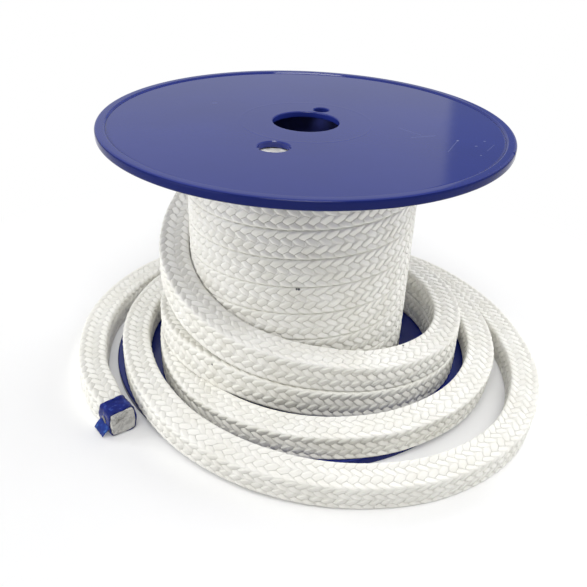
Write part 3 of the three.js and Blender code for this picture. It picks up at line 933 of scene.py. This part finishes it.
def hole_cutter(hole, low, high):
    """A round cutter that flares at both faces, which leaves a small chamfer."""
    radius, distance, azimuth = hole
    beyond = 5 * MM                # how far it stands out of the flange
    p_low, p_high = low + PLATE_RECESS, high - PLATE_RECESS
    mouth = radius + HOLE_CHAMFER
    wide = mouth + beyond + PLATE_RECESS
    profile = ((wide, low - beyond), (mouth, p_low), (radius, p_low + HOLE_CHAMFER),
               (radius, p_high - HOLE_CHAMFER), (mouth, p_high), (wide, high + beyond))
    sides = HOLE_SIDES
    angle = np.linspace(0, math.tau, sides, endpoint=False)
    place = polar(azimuth, distance, 0)
    vertices = [(0, 0, low - beyond), (0, 0, high + beyond)]
    for r, z in profile:
        vertices += [(r * math.cos(a), r * math.sin(a), z) for a in angle]
    faces = []
    for k in range(len(profile) - 1):
        for j in range(sides):
            a, b = 2 + k * sides + j, 2 + k * sides + (j + 1) % sides
            faces.append((a, b, b + sides, a + sides))
    top = 2 + (len(profile) - 1) * sides
    for j in range(sides):
        faces.append((0, 2 + (j + 1) % sides, 2 + j))
        faces.append((1, top + j, top + (j + 1) % sides))
    mesh = bpy.data.meshes.new("cutter")
    mesh.from_pydata([(x + place[0], y + place[1], z) for x, y, z in vertices], [], faces)
    cutter = bpy.data.objects.new("cutter", mesh)
    bpy.context.scene.collection.objects.link(cutter)
    return cutter


def cut_holes(piece, cutters):
    """Cuts the holes and keeps the result as the piece's own mesh."""
    for cutter in cutters:
        change = piece.modifiers.new("hole", "BOOLEAN")
        change.operation, change.solver, change.object = "DIFFERENCE", "EXACT", cutter
    seen = piece.evaluated_get(bpy.context.evaluated_depsgraph_get())
    mesh = bpy.data.meshes.new_from_object(seen)
    piece.modifiers.clear()
    piece.data = mesh
    mesh.shade_smooth()
    mesh.set_sharp_from_angle(angle=SHARP)
    for cutter in cutters:
        bpy.data.objects.remove(cutter)


def make_flange(node):
    low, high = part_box(node)[0].z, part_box(node)[1].z
    profile = flange_profile(low, high)
    piece = turned_piece(node + "_disc", profile, FLANGE_SIDES, FLANGE_LOOK)
    holes = (START_HOLE, DRIVE_HOLE, NICK) if node == "upper_flange" else (START_HOLE, DRIVE_HOLE)
    cut_holes(piece, [hole_cutter(hole, low, high) for hole in holes])
    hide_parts(node)


def make_barrel():
    low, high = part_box("barrel")[0].z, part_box("barrel")[1].z
    inner, outer, soft = BARREL_OUTER - BARREL_WALL, BARREL_OUTER, 0.4 * MM
    corners = ((outer - soft, low + soft, 270), (outer - soft, high - soft, 0),
               (inner + soft, high - soft, 90), (inner + soft, low + soft, 180))
    profile = [point for r, z, turn in corners for point in arc(r, z, soft, turn, turn + 90, 4)]
    piece = turned_piece("barrel_tube", profile, BARREL_SIDES, BARREL_LOOK)
    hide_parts("barrel")


# The studio

def make_floor():
    """White floor that keeps the shadow near the part and fades to plain white further off."""
    material, tree, shader = new_material("white_floor")
    shader.inputs["Base Color"].default_value = (0.90, 0.90, 0.90, 1)
    shader.inputs["Roughness"].default_value = 1.0
    shader.inputs["Specular IOR Level"].default_value = 0.0
    path = add(tree, "ShaderNodeLightPath")
    place = add(tree, "ShaderNodeTexCoord").outputs["Object"]
    distance = add(tree, "ShaderNodeVectorMath", operation="LENGTH")
    tree.links.new(place, distance.inputs[0])
    far = ramp(tree, distance.outputs["Value"], (0.16, (0.12, 0.12, 0.12)), (0.34, (1, 1, 1)))
    seen = add(tree, "ShaderNodeMath", operation="MAXIMUM")
    tree.links.new(path.outputs["Is Camera Ray"], seen.inputs[0])
    tree.links.new(path.outputs["Is Glossy Ray"], seen.inputs[1])
    glow = add(tree, "ShaderNodeEmission", Strength=1.0)
    fade = add(tree, "ShaderNodeMath", operation="MULTIPLY")
    tree.links.new(far, fade.inputs[0])
    tree.links.new(seen.outputs[0], fade.inputs[1])
    blend = add(tree, "ShaderNodeMixShader")
    tree.links.new(fade.outputs[0], blend.inputs[0])
    tree.links.new(shader.outputs[0], blend.inputs[1])
    tree.links.new(glow.outputs[0], blend.inputs[2])
    tree.links.new(blend.outputs[0], tree.nodes["Material Output"].inputs["Surface"])
    corners = [(x * FLOOR_REACH, y * FLOOR_REACH, 0) for x, y in ((-1, -1), (1, -1), (1, 1), (-1, 1))]
    mesh = bpy.data.meshes.new("floor")
    mesh.from_pydata(corners, [], [(0, 1, 2, 3)])
    mesh.materials.append(material)
    floor = bpy.data.objects.new("floor", mesh)
    bpy.context.scene.collection.objects.link(floor)


def make_world():
    """Even soft light. The camera sees it white, and reflections see a room, darker on the right."""
    world = bpy.data.worlds.new("studio")
    bpy.context.scene.world = world
    world.use_nodes = True
    tree = world.node_tree
    path = add(tree, "ShaderNodeLightPath")
    direction = add(tree, "ShaderNodeTexCoord").outputs["Generated"]
    split = add(tree, "ShaderNodeSeparateXYZ", Vector=direction)
    room = ramp(tree, split.outputs[0], (0.184, (0.55, 0.57, 0.64)), (0.193, (0.24, 0.27, 0.40)),
                (0.27, (0.24, 0.27, 0.40)), (0.32, (0.42, 0.44, 0.52)))
    light = add(tree, "ShaderNodeBackground", Color=(1, 1, 1, 1), Strength=WORLD_LEVEL)
    mirrored = add(tree, "ShaderNodeBackground", Strength=1.0)
    tree.links.new(room, mirrored.inputs["Color"])
    white = add(tree, "ShaderNodeBackground", Color=(1, 1, 1, 1), Strength=1.0)
    shown = light
    for ray, look in (("Is Glossy Ray", mirrored), ("Is Camera Ray", white)):
        blend = add(tree, "ShaderNodeMixShader")
        tree.links.new(path.outputs[ray], blend.inputs[0])
        tree.links.new(shown.outputs[0], blend.inputs[1])
        tree.links.new(look.outputs[0], blend.inputs[2])
        shown = blend
    tree.links.new(shown.outputs[0], tree.nodes["World Output"].inputs["Surface"])


def make_lamp(name, place, size, power, mirrored):
    data = bpy.data.lights.new(name, "AREA")
    data.shape, data.size, data.energy = "DISK", size, power
    lamp = bpy.data.objects.new(name, data)
    lamp.location = place
    lamp.rotation_euler = (Vector(MIDDLE) - Vector(place)).to_track_quat("-Z", "Y").to_euler()
    lamp.visible_glossy = mirrored
    bpy.context.scene.collection.objects.link(lamp)


make_camera()
outer_centre, outer_end = make_outer_layer()
free_piece, free_centre, free_lean, free_middle = make_free_packing(outer_centre[-1], outer_end)
tape_piece = make_tape(free_centre, free_lean)
make_inner_layer()
for flange in ("lower_flange", "upper_flange"):
    make_flange(flange)
make_barrel()
make_floor()
make_world()
for lamp in LAMPS:
    make_lamp(*lamp)
bpy.context.scene.view_settings.view_transform = "Standard"
